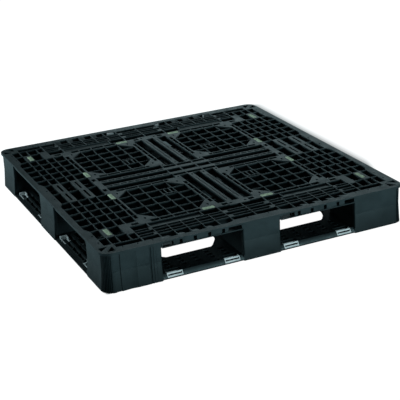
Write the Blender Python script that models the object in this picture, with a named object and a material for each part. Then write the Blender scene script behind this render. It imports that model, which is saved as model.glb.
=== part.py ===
"""Four-way plastic pallet, 1100 x 1100 mm, with twelve grip pads and sixteen edge inserts.

The upper deck and the lower deck are two injection-moulded halves. Each carries half the height
of nine hollow columns, and the halves are welded together where the columns meet. The pads sit in
shallow seats in the upper deck, and the inserts sit in pockets at the edges of the lower deck.

Frame: metres, +Z up, origin at the middle of the underside, long open sides facing -Y and +Y.
Every length below is in millimetres and is turned into metres where a mesh is made.
"""

import math

import bmesh
import bpy

MM = 0.001

# Overall sizes
SIDE = 1100.0                      # plan size of the upper deck, both ways
DECK_TOP = 135.0                   # height of the upper deck's surface
RIM_RADIUS = 35.0                  # plan radius of the deck's corners
RIM_STEP = 6.0                     # how far the top rim stands out from the columns
RIM_BAND = 8.0                     # height of that rim
DECK_UNDERSIDE = 112.0             # lowest point of the upper deck's ribs and skirt
LOWER_TOP = 20.0                   # top of the lower deck
LOWER_UNDERSIDE = 2.5              # the lower deck clears the floor between the columns
WELD_HEIGHT = 67.5                 # plane where the two halves meet
FIT_GAP = 0.3                      # clearance between neighbouring pieces

HALF = SIDE / 2
BODY = HALF - RIM_STEP             # outer face of the upper half's columns and skirt
FOOT = HALF - 1.0                  # outer face of the lower half at floor level; it leans in to meet BODY
CORNER_STEPS = 5                   # straight pieces in each large rounded corner
SMALL_RADIUS = 6.0                 # smaller corners are a single bevel

# Wall and rib thicknesses
RIB = 3.5
PLATE = 3.0
WALL = 4.0

# Columns: the three stripes they fill in each direction
COLUMN_X = ((-BODY, -352.0), (-69.0, 69.0), (352.0, BODY))
COLUMN_Y = ((-BODY, -387.0), (-76.0, 76.0), (387.0, BODY))
COLUMN_RADIUS = 4.0
CAVITY_BEVEL = 17.0                # keeps the wall thick at the pallet's rounded corners

# Centre lines of the ribs, given for the quadrant where x and y are positive
BAND_RIBS_X = (356.0, 395.0, 423.5, 461.5, 490.0)
OPEN_BAND_RIBS_X = (356.0, 423.5, 490.0)     # the ones that run on past the columns
BAND_RIBS_Y = (93.0, 147.0, 228.0, 309.0, 363.0)
GRILLE_RIBS_X = (136.0, 210.0, 284.0)
GRILLE_RIBS_Y = (147.0, 228.0, 309.0)
GRILLE_X = (86.0, 335.0)           # inner faces of the frame around each grille
GRILLE_Y = (93.0, 365.0)
GRILLE_DROP = 1.5                  # the grille ribs lie this far below the deck's surface
RIM_INNER = 530.0                  # inner edge of the rim beside the fork openings
RIM_INNER_WIDE = 518.0             # the same edge beside the columns
END_RIM_INNER = 527.0              # inner edge of the front and back rim at the fork openings
END_RIM_INNER_WIDE = 514.0
END_RIBS_Y = (390.0, 429.5, 486.5)   # ribs that run across the front and back bands
END_RIBS_X = (85.0, 185.0, 284.0, 336.5, 397.0)
NOTCHES_X = (138.0, 187.0, 237.0, 286.0)    # middles of the notches in the skirt
NOTCHES_Y = (149.0, 203.0, 257.0, 311.0)
NOTCH_WIDTH = 11.0
NOTCH_DEPTH = 5.0                  # the notches are blind
NOTCH_HEIGHTS = (115.5, 128.5)
SKIRT = 8.0                        # thickness of the skirt over the fork openings

# Grip pads: (centre x, centre y, size x, size y) in one quadrant
PAD_HEIGHT = 3.0
PAD_PROUD = 1.0
TOP_PADS = {
    "corner": (471.5, 394.0, 17.0, 50.0),
    "side": (348.7, 121.0, 15.6, 50.0),
    "end": (109.2, 380.5, 44.5, 18.5),
}

# Lower deck
HOLE_X = (73.0, 348.0)             # the four large openings
HOLE_Y = (80.0, 432.0)
HOLE_CORNER = ((56.0, 0.0), (36.0, 24.0), (17.0, 52.0), (0.0, 93.0))   # in from the opening's sides
RAMP_DEPTH = 9.0                   # slope along the front and back edges, which forks and wheels cross
SIDE_RAMP_DEPTH = 30.0             # the same slope along the left and right edges is much longer
RAMP_FOOT = 7.0
EDGE = FOOT - (FOOT - BODY) * RAMP_FOOT / WELD_HEIGHT    # outer face at the foot of that slope
INSERT_LENGTH = 54.0
INSERT_DEPTH = 32.0                # front and back inserts, which reach the outer face
SIDE_INSERT_DEPTH = 24.0
SIDE_INSERT_OUTER = 536.0          # outer face of the left and right inserts
INSERT_HEIGHT = 12.5
INSERT_WALL = 4.0
INSERT_CENTRES_X = (109.0, 311.0)  # middles of the inserts along the front and back edges
INSERT_CENTRES_Y = (120.0, 343.0)  # middles of the inserts along the left and right edges

BLACK = (0.018, 0.022, 0.026, 1.0)
PALE_GREEN = (0.52, 0.60, 0.38, 1.0)
PALE_GREY = (0.62, 0.70, 0.72, 1.0)


def clear_scene():
    for item in list(bpy.data.objects):
        bpy.data.objects.remove(item, do_unlink=True)


def make_material(name, colour, roughness):
    material = bpy.data.materials.new(name)
    material.use_nodes = True
    shader = material.node_tree.nodes["Principled BSDF"]
    shader.inputs["Base Color"].default_value = colour
    shader.inputs["Roughness"].default_value = roughness
    shader.inputs["Metallic"].default_value = 0.0
    return material


# Outlines are lists of (x, y) points, anticlockwise seen from above.

def box_outline(x0, x1, y0, y1):
    return [(x0, y0), (x1, y0), (x1, y1), (x0, y1)]


def rounded_outline(x0, x1, y0, y1, radii):
    """Rectangle with its own radius at each corner: low-low, high-low, high-high, low-high."""
    corners = ((x0, y0, 1, 1, 180), (x1, y0, -1, 1, 270), (x1, y1, -1, -1, 0), (x0, y1, 1, -1, 90))
    points = []
    for (x, y, sx, sy, start), radius in zip(corners, radii):
        steps = CORNER_STEPS if radius > SMALL_RADIUS else 1
        for step in range(steps + 1):
            angle = math.radians(start + 90.0 * step / steps)
            points.append((x + sx * radius + radius * math.cos(angle),
                           y + sy * radius + radius * math.sin(angle)))
    return points


def large_opening():
    """Rectangle whose corners are cut by long bevels that bow outwards."""
    x0, x1 = HOLE_X
    y0, y1 = HOLE_Y
    upper_right = [(x1 - in_x, y1 - in_y) for in_x, in_y in reversed(HOLE_CORNER)]
    upper_left = [(x0 + in_x, y1 - in_y) for in_x, in_y in HOLE_CORNER]
    lower_left = [(x0 + in_x, y0 + in_y) for in_x, in_y in reversed(HOLE_CORNER)]
    lower_right = [(x1 - in_x, y0 + in_y) for in_x, in_y in HOLE_CORNER]
    return upper_right + upper_left + lower_left + lower_right


def mirrored(outline, flip_x, flip_y):
    points = [(-x if flip_x else x, -y if flip_y else y) for x, y in outline]
    return list(reversed(points)) if flip_x != flip_y else points


def four_ways(outlines):
    """Copies of the outlines in all four quadrants."""
    return [mirrored(outline, flip_x, flip_y)
            for outline in outlines for flip_x in (False, True) for flip_y in (False, True)]


def both_ends(outlines):
    """Copies of outlines that straddle x = 0, at the front and at the back."""
    return [mirrored(outline, False, flip_y) for outline in outlines for flip_y in (False, True)]


def both_sides(outlines):
    """Copies of outlines that straddle y = 0, at the left and at the right."""
    return [mirrored(outline, flip_x, False) for outline in outlines for flip_x in (False, True)]


def add_tapered_prism(mesh, low_outline, high_outline, low, high):
    lower = [mesh.verts.new((x * MM, y * MM, low * MM)) for x, y in low_outline]
    upper = [mesh.verts.new((x * MM, y * MM, high * MM)) for x, y in high_outline]
    mesh.faces.new(list(reversed(lower)))
    mesh.faces.new(upper)
    count = len(low_outline)
    for index in range(count):
        following = (index + 1) % count
        mesh.faces.new((lower[index], lower[following], upper[following], upper[index]))


def add_prism(mesh, outline, low, high):
    add_tapered_prism(mesh, outline, outline, low, high)


def add_ramp(mesh, start, end, along_x, direction):
    """Wedge that bevels one edge of the lower deck; direction is the side it lies on."""
    over = 1.0                     # the wedge reaches this far past the edge it cuts
    depth = RAMP_DEPTH if along_x else SIDE_RAMP_DEPTH
    rise = (LOWER_TOP - RAMP_FOOT) / depth
    profile = ((EDGE + over, RAMP_FOOT - over * rise), (EDGE + over, LOWER_TOP + over),
               (EDGE - depth - over / rise, LOWER_TOP + over))
    rings = []
    for along in (start, end):
        ring = []
        for across, height in profile:
            place = (along, across * direction) if along_x else (across * direction, along)
            ring.append(mesh.verts.new((place[0] * MM, place[1] * MM, height * MM)))
        rings.append(ring)
    mesh.faces.new(rings[0])
    mesh.faces.new(list(reversed(rings[1])))
    for index in range(len(profile)):
        following = (index + 1) % len(profile)
        mesh.faces.new((rings[0][index], rings[1][index], rings[1][following], rings[0][following]))


def make_object(name, mesh, material=None):
    bmesh.ops.recalc_face_normals(mesh, faces=mesh.faces)
    data = bpy.data.meshes.new(name)
    mesh.to_mesh(data)
    mesh.free()
    item = bpy.data.objects.new(name, data)
    bpy.context.scene.collection.objects.link(item)
    if material:
        data.materials.append(material)
    return item


def prism_object(name, outlines, low, high, material=None):
    mesh = bmesh.new()
    for outline in outlines:
        add_prism(mesh, outline, low, high)
    return make_object(name, mesh, material)


def combine(target, tool, operation):
    """Adds or cuts with a hidden tool object."""
    tool.hide_render = True
    tool.display_type = "WIRE"
    modifier = target.modifiers.new(tool.name, "BOOLEAN")
    modifier.operation = operation
    modifier.solver = "EXACT"
    modifier.object = tool


def cells(edges_x, edges_y):
    """Windows between ribs: each edges list holds (low, high) clear spans."""
    return [box_outline(x0, x1, y0, y1) for x0, x1 in edges_x for y0, y1 in edges_y]


def spans(ribs, first=None, last=None):
    """Clear spans between rib centre lines, with plain edges where first or last is given."""
    limits = [(rib - RIB / 2, rib + RIB / 2) for rib in ribs]
    if first is not None:
        limits.insert(0, (first, first))
    if last is not None:
        limits.append((last, last))
    return [(before[1], after[0]) for before, after in zip(limits, limits[1:])]


# Upper deck

def side_band_windows():
    """Grid beside each pair of grilles, out to the left and right rims."""
    rows = spans(BAND_RIBS_Y)
    windows = cells(spans(OPEN_BAND_RIBS_X), rows)
    inner = OPEN_BAND_RIBS_X[-1] + RIB / 2
    for index, (y0, y1) in enumerate(rows):
        if index == 0:
            windows.append([(inner, y0), (RIM_INNER_WIDE, y0), (RIM_INNER, y0 + 24.0),
                            (RIM_INNER, y1), (inner, y1)])
        elif index == len(rows) - 1:
            windows.append([(inner, y0), (RIM_INNER, y0), (RIM_INNER, y1 - 26.0),
                            (RIM_INNER_WIDE, y1), (inner, y1)])
        else:
            windows.append(box_outline(inner, RIM_INNER, y0, y1))
    return windows


def side_centre_windows():
    """Openings over the columns halfway along the left and right sides."""
    low = RIB / 2
    high = BAND_RIBS_Y[0] - RIB / 2
    edges = spans(BAND_RIBS_X, last=RIM_INNER_WIDE)
    return [box_outline(x0, x1, low, high) for x0, x1 in (edges[0], edges[2], edges[4])]


def side_centre_plates():
    """Clear spans of the two slotted plates over each of those columns."""
    edges = spans(BAND_RIBS_X)
    return (edges[1], edges[3])


def corner_windows():
    """Openings over a corner column."""
    edges = spans(BAND_RIBS_X, last=RIM_INNER_WIDE)
    near, far = spans((BAND_RIBS_Y[-1], 431.0, END_RIBS_Y[-1]))
    windows = [box_outline(*edges[4], *near), box_outline(*edges[4], *far),
               box_outline(*edges[3], *far), box_outline(*edges[2], *near),
               box_outline(*edges[2], *far), box_outline(398.8, edges[1][1], 441.8, far[1])]
    windows.append([(541.0, 495.0), (541.0, 522.0), (511.0, 495.0)])
    windows.append([(499.0, 502.0), (527.0, 534.0), (499.0, 534.0)])
    windows.append(box_outline(358.0, 383.0, 371.0, 385.5))
    return windows


def end_band_windows():
    """Long narrow openings in the front and back bands."""
    columns = spans(END_RIBS_X, first=RIB / 2)
    windows = cells(columns, spans(END_RIBS_Y))
    slot_low = END_RIBS_Y[-1] + RIB / 2
    windows.append(box_outline(*columns[0], slot_low, END_RIM_INNER_WIDE))
    windows.append(box_outline(*columns[4], slot_low, END_RIM_INNER_WIDE))
    windows.append(box_outline(398.8, BAND_RIBS_X[-1], slot_low, END_RIM_INNER_WIDE))
    windows.append([(90.0, 493.0), (134.0, 493.0), (134.0, END_RIM_INNER), (112.0, END_RIM_INNER),
                    (90.0, 516.0)])
    for x0, x1 in ((139.0, 213.0), (238.0, 310.0)):
        windows.append(box_outline(x0, x1, 493.0, END_RIM_INNER))
    return windows


def grille_windows():
    """Four by four cells, the corner ones cut to triangles by gusset plates."""
    columns = spans(GRILLE_RIBS_X, first=GRILLE_X[0], last=GRILLE_X[1])
    rows = spans(GRILLE_RIBS_Y, first=GRILLE_Y[0], last=GRILLE_Y[1])
    windows = []
    lean = 3.0
    for ix, (x0, x1) in enumerate(columns):
        for iy, (y0, y1) in enumerate(rows):
            low_x, high_x = ix == 0, ix == len(columns) - 1
            low_y, high_y = iy == 0, iy == len(rows) - 1
            if low_x and low_y:
                windows.append([(x1, y0 + lean), (x1, y1), (x0 + lean, y1)])
            elif high_x and low_y:
                windows.append([(x0, y0 + lean), (x1 - lean, y1), (x0, y1)])
            elif low_x and high_y:
                windows.append([(x0 + lean, y0), (x1, y0), (x1, y1 - lean)])
            elif high_x and high_y:
                windows.append([(x0, y0), (x1 - lean, y0), (x0, y1 - lean)])
            else:
                windows.append(box_outline(x0, x1, y0, y1))
    return windows


def grille_recess():
    """Octagon lowered by a little below the deck's surface."""
    x0, x1 = GRILLE_X
    y0, y1 = GRILLE_Y
    leg_x = GRILLE_RIBS_X[0] - x0
    leg_y = GRILLE_RIBS_Y[0] - y0
    return [(x0 + leg_x, y0), (x1 - leg_x, y0), (x1, y0 + leg_y), (x1, y1 - leg_y),
            (x1 - leg_x, y1), (x0 + leg_x, y1), (x0, y1 - leg_y), (x0, y0 + leg_y)]


def cross_windows():
    """Openings between the bars of the central cross: in one quadrant, and across each axis."""
    lengths = ((58.0, 93.0), (97.0, 185.0), (189.0, 274.0), (278.0, 363.0))
    quadrant = cells(((32.5, 65.5),), lengths)
    quadrant += cells(((87.0, 183.0), (187.0, 282.0), (286.0, 335.0)), ((35.0, 71.0),))
    quadrant.append(box_outline(33.0, 82.0, 35.0, 54.0))
    quadrant.append(box_outline(38.5, 60.0, 370.0, 388.0))
    quadrant.append(box_outline(340.0, 354.0, 43.0, 66.0))
    over_front = cells(((-13.5, 13.5),), lengths)
    over_front.append(box_outline(-29.0, 29.0, 35.0, 54.0))
    over_side = cells(((33.0, 82.0), (87.0, 183.0), (187.0, 282.0), (286.0, 335.0)), ((-15.5, 15.5),))
    return quadrant, over_front, over_side


def under_pockets():
    """Hollows beneath the plates and the rim, open downwards."""
    quadrant = [
        box_outline(532.5, BODY - SKIRT, 122.0, 333.0),
        box_outline(522.0, BODY - WALL, 394.0, 484.0),
        box_outline(115.0, 309.0, 530.0, BODY - SKIRT),
        box_outline(359.0, 488.0, 518.0, BODY - WALL),
        box_outline(463.3, 488.2, 366.0, 429.0),
        box_outline(398.8, 421.7, 366.0, 438.0),
    ]
    low = RIB / 2
    high = BAND_RIBS_Y[0] - RIB / 2
    quadrant += [box_outline(x0, x1, low, high) for x0, x1 in side_centre_plates()]
    over_front = [box_outline(-65.0, 65.0, 518.0, BODY - WALL)]
    over_side = [box_outline(522.0, BODY - WALL, -70.0, 70.0)]
    return four_ways(quadrant) + both_ends(over_front) + both_sides(over_side)


def rail_hollows():
    """Hollows beneath the rails and bars, open downwards and shallower than the plate hollows."""
    return four_ways([
        box_outline(341.0, 353.0, 150.0, 340.0),
        box_outline(137.0, 334.0, 371.0, 387.5),
        box_outline(18.0, 28.0, 60.0, 360.0),
        box_outline(70.0, 81.0, 95.0, 360.0),
        box_outline(88.0, 332.0, 20.5, 30.5),
    ])


def add_box(mesh, x0, x1, y0, y1, z0, z1):
    add_prism(mesh, box_outline(min(x0, x1), max(x0, x1), min(y0, y1), max(y0, y1)), z0, z1)


def skirt_notches():
    """Blind notches in the outer face of the skirt, four over each fork opening."""
    mesh = bmesh.new()
    across = (BODY - NOTCH_DEPTH, HALF + 1.0)
    for side in (-1, 1):
        near, far = across[0] * side, across[1] * side
        for mirror in (-1, 1):
            for middle in NOTCHES_X:
                low, high = middle * mirror - NOTCH_WIDTH / 2, middle * mirror + NOTCH_WIDTH / 2
                add_box(mesh, low, high, near, far, *NOTCH_HEIGHTS)
            for middle in NOTCHES_Y:
                low, high = middle * mirror - NOTCH_WIDTH / 2, middle * mirror + NOTCH_WIDTH / 2
                add_box(mesh, near, far, low, high, *NOTCH_HEIGHTS)
    return make_object("cut_skirt_notches", mesh)


def body_outline(outer):
    """Plan of one half without the rim; outer is where its faces lie at that height."""
    return rounded_outline(-outer, outer, -outer, outer, [RIM_RADIUS - (HALF - outer)] * 4)


def column_outlines(outer):
    """The nine column footprints, the outer corners of the corner ones well rounded."""
    sink = 0.02                    # keeps the columns' faces just inside the faces they join
    reach = {BODY: outer, -BODY: -outer}
    outlines = []
    for ix, column_x in enumerate(COLUMN_X):
        for iy, column_y in enumerate(COLUMN_Y):
            x0, x1 = (reach.get(limit, limit) for limit in column_x)
            y0, y1 = (reach.get(limit, limit) for limit in column_y)
            radii = []
            for corner_x, corner_y in ((0, 0), (2, 0), (2, 2), (0, 2)):
                at_pallet_corner = ix == corner_x and iy == corner_y
                radii.append(RIM_RADIUS - (HALF - outer) if at_pallet_corner else COLUMN_RADIUS)
            outlines.append(rounded_outline(x0 + sink, x1 - sink, y0 + sink, y1 - sink, radii))
    return outlines


def halves(low, high):
    """The two clear spans left by a web halfway between low and high."""
    middle = (low + high) / 2
    return ((low, middle - RIB / 2), (middle + RIB / 2, high))


def column_cavities(low, high):
    """The hollow inside each column, parted into four by crossing webs."""
    mesh = bmesh.new()
    for column_x in COLUMN_X:
        for column_y in COLUMN_Y:
            for x0, x1 in halves(column_x[0] + WALL, column_x[1] - WALL):
                for y0, y1 in halves(column_y[0] + WALL, column_y[1] - WALL):
                    outline = box_outline(x0, x1, y0, y1)
                    outer_x = max(abs(x0), abs(x1))
                    outer_y = max(abs(y0), abs(y1))
                    if min(outer_x, outer_y) > BODY - 2 * WALL:
                        corner = (math.copysign(outer_x, x0), math.copysign(outer_y, y0))
                        outline = bevelled_corner(outline, corner)
                    add_prism(mesh, outline, low, high)
    return make_object("cut_column_cavities_%d" % low, mesh)


def bevelled_corner(outline, corner):
    """The outline with one corner cut off, to follow the rounded corner of the pallet."""
    points = []
    for index, point in enumerate(outline):
        if math.dist(point, corner) > FIT_GAP:
            points.append(point)
            continue
        before = outline[index - 1]
        after = outline[(index + 1) % len(outline)]
        for neighbour in (before, after):
            share = CAVITY_BEVEL / math.dist(point, neighbour)
            points.append(tuple(p + (n - p) * share for p, n in zip(point, neighbour)))
    return points


def pad_places():
    """Name, outline and quadrant of every grip pad."""
    ends = {-1: "front", 1: "back"}
    sides = {-1: "left", 1: "right"}
    places = []
    for kind, (x, y, size_x, size_y) in TOP_PADS.items():
        for sy in (-1, 1):
            for sx in (-1, 1):
                name = "grip_pad_%s_%s_%s" % (kind, ends[sy], sides[sx])
                places.append((name, x * sx, y * sy, size_x, size_y))
    return places


def build_upper_deck(material):
    outer = rounded_outline(-HALF, HALF, -HALF, HALF, [RIM_RADIUS] * 4)
    deck = prism_object("upper_deck", [outer], DECK_TOP - RIM_BAND, DECK_TOP, material)
    skirt = prism_object("add_skirt", [body_outline(BODY)], DECK_UNDERSIDE, DECK_TOP - 2.0)
    columns = prism_object("add_upper_columns", column_outlines(BODY),
                           WELD_HEIGHT + FIT_GAP / 2, DECK_UNDERSIDE + 2.0)
    combine(deck, skirt, "UNION")
    combine(deck, columns, "UNION")

    cavities = column_cavities(WELD_HEIGHT - 5.0, DECK_UNDERSIDE + 1.5)
    combine(deck, cavities, "DIFFERENCE")
    plate_hollows = prism_object("cut_plate_hollows", under_pockets(),
                                 DECK_UNDERSIDE - 0.5, DECK_TOP - PLATE)
    combine(deck, plate_hollows, "DIFFERENCE")
    rail_tool = prism_object("cut_rail_hollows", rail_hollows(),
                             DECK_UNDERSIDE - 0.7, DECK_TOP - 2 * PLATE)
    combine(deck, rail_tool, "DIFFERENCE")

    quadrant, over_front, over_side = cross_windows()
    windows = four_ways(side_band_windows() + side_centre_windows() + corner_windows()
                        + end_band_windows() + grille_windows() + quadrant)
    windows += both_ends(over_front) + both_sides(over_side)
    windows.append(box_outline(-29.0, 29.0, -15.5, 15.5))
    window_tool = prism_object("cut_windows", windows, DECK_UNDERSIDE - 0.3, DECK_TOP + 5.0)
    combine(deck, window_tool, "DIFFERENCE")

    slots = []
    for x0, x1 in side_centre_plates():
        middle = (x0 + x1) / 2
        slots.append(box_outline(middle - 4.0, middle + 4.0, 11.0, 78.0))
    slot_tool = prism_object("cut_plate_slots", four_ways(slots), DECK_TOP - 2 * PLATE, DECK_TOP + 4.0)
    combine(deck, slot_tool, "DIFFERENCE")

    recess_tool = prism_object("cut_grille_recess", four_ways([grille_recess()]),
                               DECK_TOP - GRILLE_DROP, DECK_TOP + 3.0)
    combine(deck, recess_tool, "DIFFERENCE")

    seats = []
    for _, x, y, size_x, size_y in pad_places():
        seats.append(box_outline(x - size_x / 2 - FIT_GAP, x + size_x / 2 + FIT_GAP,
                                 y - size_y / 2 - FIT_GAP, y + size_y / 2 + FIT_GAP))
    seat_tool = prism_object("cut_pad_seats", seats,
                             DECK_TOP + PAD_PROUD - PAD_HEIGHT - FIT_GAP, DECK_TOP + 2.0)
    combine(deck, seat_tool, "DIFFERENCE")
    combine(deck, skirt_notches(), "DIFFERENCE")
    return deck


def build_grip_pads(material):
    bevel = 0.8
    for name, x, y, size_x, size_y in pad_places():
        mesh = bmesh.new()
        add_prism(mesh, box_outline(-size_x / 2, size_x / 2, -size_y / 2, size_y / 2),
                  0.0, PAD_HEIGHT)
        top_edges = [edge for edge in mesh.edges
                     if all(vert.co.z > 0.5 * PAD_HEIGHT * MM for vert in edge.verts)]
        bmesh.ops.bevel(mesh, geom=top_edges, offset=bevel * MM, segments=1, affect="EDGES")
        pad = make_object(name, mesh, material.copy())
        pad.location = (x * MM, y * MM, (DECK_TOP + PAD_PROUD - PAD_HEIGHT) * MM)


# Lower deck

def insert_places():
    """Name, middle, and side of every edge insert; the side is where its outer face points."""
    places = []
    for side, label in ((-1, "front"), (1, "back")):
        order = sorted(sign * centre for sign in (-1, 1) for centre in INSERT_CENTRES_X)
        for number, x in enumerate(order, start=1):
            name = "edge_insert_%s_%d" % (label, number)
            places.append((name, (x, side * (EDGE - INSERT_DEPTH / 2)), (0, side)))
    for side, label in ((-1, "left"), (1, "right")):
        order = sorted(sign * centre for sign in (-1, 1) for centre in INSERT_CENTRES_Y)
        for number, y in enumerate(order, start=1):
            name = "edge_insert_%s_%d" % (label, number)
            places.append((name, (side * (SIDE_INSERT_OUTER - SIDE_INSERT_DEPTH / 2), y), (side, 0)))
    return places


def runner_windows():
    """Openings in the lower deck's runners, in one quadrant."""
    windows = cells(((88.0, 134.0), (138.0, 208.0), (212.0, 282.0), (286.0, 332.0)), ((470.0, 509.0),))
    windows += cells(((360.0, 421.0), (425.0, 509.0)), ((96.0, 199.0), (203.0, 307.0), (311.0, 361.0)))
    windows += cells(((6.0, 64.0),), ((84.0, 180.0), (184.0, 280.0), (284.0, 380.0)))
    windows += cells(((78.0, 170.0), (174.0, 260.0), (264.0, 344.0)), ((6.0, 70.0),))
    return windows


def edge_ramps():
    """Sloped edge along each fork opening, front, back, left and right."""
    mesh = bmesh.new()
    inset = 1.0
    for side in (-1, 1):
        for low, high in ((COLUMN_X[0][1], COLUMN_X[1][0]), (COLUMN_X[1][1], COLUMN_X[2][0])):
            add_ramp(mesh, low + inset, high - inset, True, side)
        for low, high in ((COLUMN_Y[0][1], COLUMN_Y[1][0]), (COLUMN_Y[1][1], COLUMN_Y[2][0])):
            add_ramp(mesh, low + inset, high - inset, False, side)
    return make_object("cut_edge_ramps", mesh)


def face_at(height):
    """Where the outer face of the lower half lies at a height."""
    return FOOT - (FOOT - BODY) * height / WELD_HEIGHT


def build_lower_deck(material):
    slab = bmesh.new()
    add_tapered_prism(slab, body_outline(face_at(LOWER_UNDERSIDE)), body_outline(face_at(LOWER_TOP)),
                      LOWER_UNDERSIDE, LOWER_TOP)
    deck = make_object("lower_deck", slab, material)
    tapered = bmesh.new()
    for low_outline, high_outline in zip(column_outlines(FOOT), column_outlines(BODY)):
        add_tapered_prism(tapered, low_outline, high_outline, 0.0, WELD_HEIGHT - FIT_GAP / 2)
    columns = make_object("add_lower_columns", tapered)
    combine(deck, edge_ramps(), "DIFFERENCE")
    combine(deck, columns, "UNION")
    combine(deck, column_cavities(LOWER_UNDERSIDE + PLATE, WELD_HEIGHT + 5.0), "DIFFERENCE")
    hole_tool = prism_object("cut_large_openings", four_ways([large_opening()]), -1.0, LOWER_TOP + 1.0)
    combine(deck, hole_tool, "DIFFERENCE")
    window_tool = prism_object("cut_runner_windows", four_ways(runner_windows()),
                               LOWER_UNDERSIDE - 2.0, LOWER_TOP + 1.5)
    combine(deck, window_tool, "DIFFERENCE")

    pockets = []
    for _, (x, y), (side_x, side_y) in insert_places():
        along = INSERT_LENGTH / 2 + FIT_GAP
        if side_y:
            past_edge = 6.0
            inner, outer = EDGE - INSERT_DEPTH - FIT_GAP, EDGE + past_edge
            pockets.append(box_outline(x - along, x + along, *sorted((side_y * inner, side_y * outer))))
        else:
            inner = SIDE_INSERT_OUTER - SIDE_INSERT_DEPTH - FIT_GAP
            outer = SIDE_INSERT_OUTER + FIT_GAP
            pockets.append(box_outline(*sorted((side_x * inner, side_x * outer)), y - along, y + along))
    pocket_tool = prism_object("cut_insert_pockets", pockets, RAMP_FOOT - FIT_GAP, LOWER_TOP + 2.0)
    combine(deck, pocket_tool, "DIFFERENCE")
    return deck


def build_edge_inserts(material):
    """Open rectangular frames; the outer wall of those at the front and back leans with the slope."""
    half_length = INSERT_LENGTH / 2
    for name, (x, y), (side_x, side_y) in insert_places():
        depth = INSERT_DEPTH if side_y else SIDE_INSERT_DEPTH
        slope = RAMP_DEPTH / (LOWER_TOP - RAMP_FOOT) if side_y else 0.0
        outer_wall = INSERT_WALL + (6.0 if side_y else 0.0)
        mesh = bmesh.new()
        outer = box_outline(-half_length, half_length, -depth / 2, depth / 2)
        inner = box_outline(-half_length + INSERT_WALL, half_length - INSERT_WALL,
                            -depth / 2 + INSERT_WALL, depth / 2 - outer_wall)
        rings = []
        for outline, height in ((outer, 0.0), (outer, INSERT_HEIGHT),
                                (inner, INSERT_HEIGHT), (inner, 0.0)):
            lean = slope * height
            ring = []
            for point_x, point_y in outline:
                if outline is outer and point_y > 0:
                    point_y -= lean
                ring.append(mesh.verts.new((point_x * MM, point_y * MM, height * MM)))
            rings.append(ring)
        for ring, following in zip(rings, rings[1:] + rings[:1]):
            for index in range(4):
                after = (index + 1) % 4
                mesh.faces.new((ring[index], ring[after], following[after], following[index]))
        insert = make_object(name, mesh, material.copy())
        insert.location = (x * MM, y * MM, RAMP_FOOT * MM)
        insert.rotation_euler = (0.0, 0.0, math.atan2(side_y, side_x) - math.pi / 2)


def main():
    clear_scene()
    black = make_material("black_polypropylene", BLACK, 0.42)
    build_upper_deck(black)
    build_lower_deck(black.copy())
    build_grip_pads(make_material("pale_green_elastomer", PALE_GREEN, 0.55))
    build_edge_inserts(make_material("pale_grey_elastomer", PALE_GREY, 0.3))


main()
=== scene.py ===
"""Studio view of a four-way plastic pallet: detailed mouldings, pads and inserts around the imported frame.

Plan outlines are in millimetres, in the frame's own axes, and are turned into metres where a mesh is
made. Most are given for the quadrant where x and y are positive and then mirrored.
"""

import math

import bmesh
import bpy
from mathutils import Matrix, Vector
from mathutils.geometry import delaunay_2d_cdt


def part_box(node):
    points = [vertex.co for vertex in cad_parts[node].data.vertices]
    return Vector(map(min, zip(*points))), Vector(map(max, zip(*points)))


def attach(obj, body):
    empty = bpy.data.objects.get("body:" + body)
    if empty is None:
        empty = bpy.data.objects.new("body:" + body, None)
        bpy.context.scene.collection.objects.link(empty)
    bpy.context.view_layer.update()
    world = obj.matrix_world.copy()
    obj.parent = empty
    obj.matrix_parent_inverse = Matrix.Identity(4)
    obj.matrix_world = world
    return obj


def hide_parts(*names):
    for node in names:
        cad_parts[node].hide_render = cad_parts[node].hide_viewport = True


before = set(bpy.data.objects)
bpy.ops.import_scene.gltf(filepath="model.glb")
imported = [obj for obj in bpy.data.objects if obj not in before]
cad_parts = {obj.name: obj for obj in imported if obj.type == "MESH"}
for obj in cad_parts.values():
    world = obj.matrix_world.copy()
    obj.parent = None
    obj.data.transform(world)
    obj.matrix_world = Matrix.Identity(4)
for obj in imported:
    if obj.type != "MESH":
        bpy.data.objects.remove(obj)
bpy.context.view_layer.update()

MM = 0.001


def node_box(node):
    """Lowest and highest corners of a node's box, in millimetres."""
    low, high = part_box(node)
    return low / MM, high / MM


# Sizes read from the frame
UPPER_LOW, UPPER_HIGH = node_box("upper_deck")
LOWER_HIGH = node_box("lower_deck")[1]
HALF = UPPER_HIGH.x                # half the plan size, to the rim
DECK_TOP = UPPER_HIGH.z
WELD_TOP = UPPER_LOW.z             # lowest face of the upper half
FOOT = LOWER_HIGH.x                # outer face of the lower half, at the floor
WELD_LOW = LOWER_HIGH.z            # highest face of the lower half
BODY = HALF - 6.0                  # outer face of the upper half's columns

# Heights
DECK_UNDERSIDE = 112.0
RIM_BOTTOM = 127.0
LOWER_TOP = 20.0
LOWER_UNDERSIDE = 2.5
COLUMN_FLOOR = 5.5
RAMP_FOOT = 7.0
RAMP_DEPTH = 9.0
SIDE_PROFILE = ((519.0, LOWER_TOP), (531.0, 13.5), (FOOT, 5.5))    # x and height across the side edges
TREAD_START = 534.0                # where the grooves across that profile begin
NOTCH_TOP = 130.0
SKIRT_FACE_TOP = 129.5
LIP = 2.6                          # floor of the notches in the skirt
SIDE_RIM = 4.0                     # height of the thin rim over the left and right openings
SIDE_LIP = (124.0, 127.0)          # ledge below that rim
SEAT_DROP = 2.3                    # depth of the seats for the grip pads
WALL_STUB = 5.0                    # rise of the column walls past the deck's underside in a window

# Thicknesses
RIB = 2.0
GRILLE_RIB = 1.7
PLATE = 3.0
WALL = 4.0
SKIRT = 8.0
GRILLE_DROP = 1.5
LOW_RIB_DROP = 14.0

# Clearances
SEAT_GAP = 0.5                     # round a grip pad's box
POCKET_GAP = 0.4                   # round an edge insert's box
PAD_MARGIN = 1.0                   # how far a visual pad stays inside its box

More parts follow.
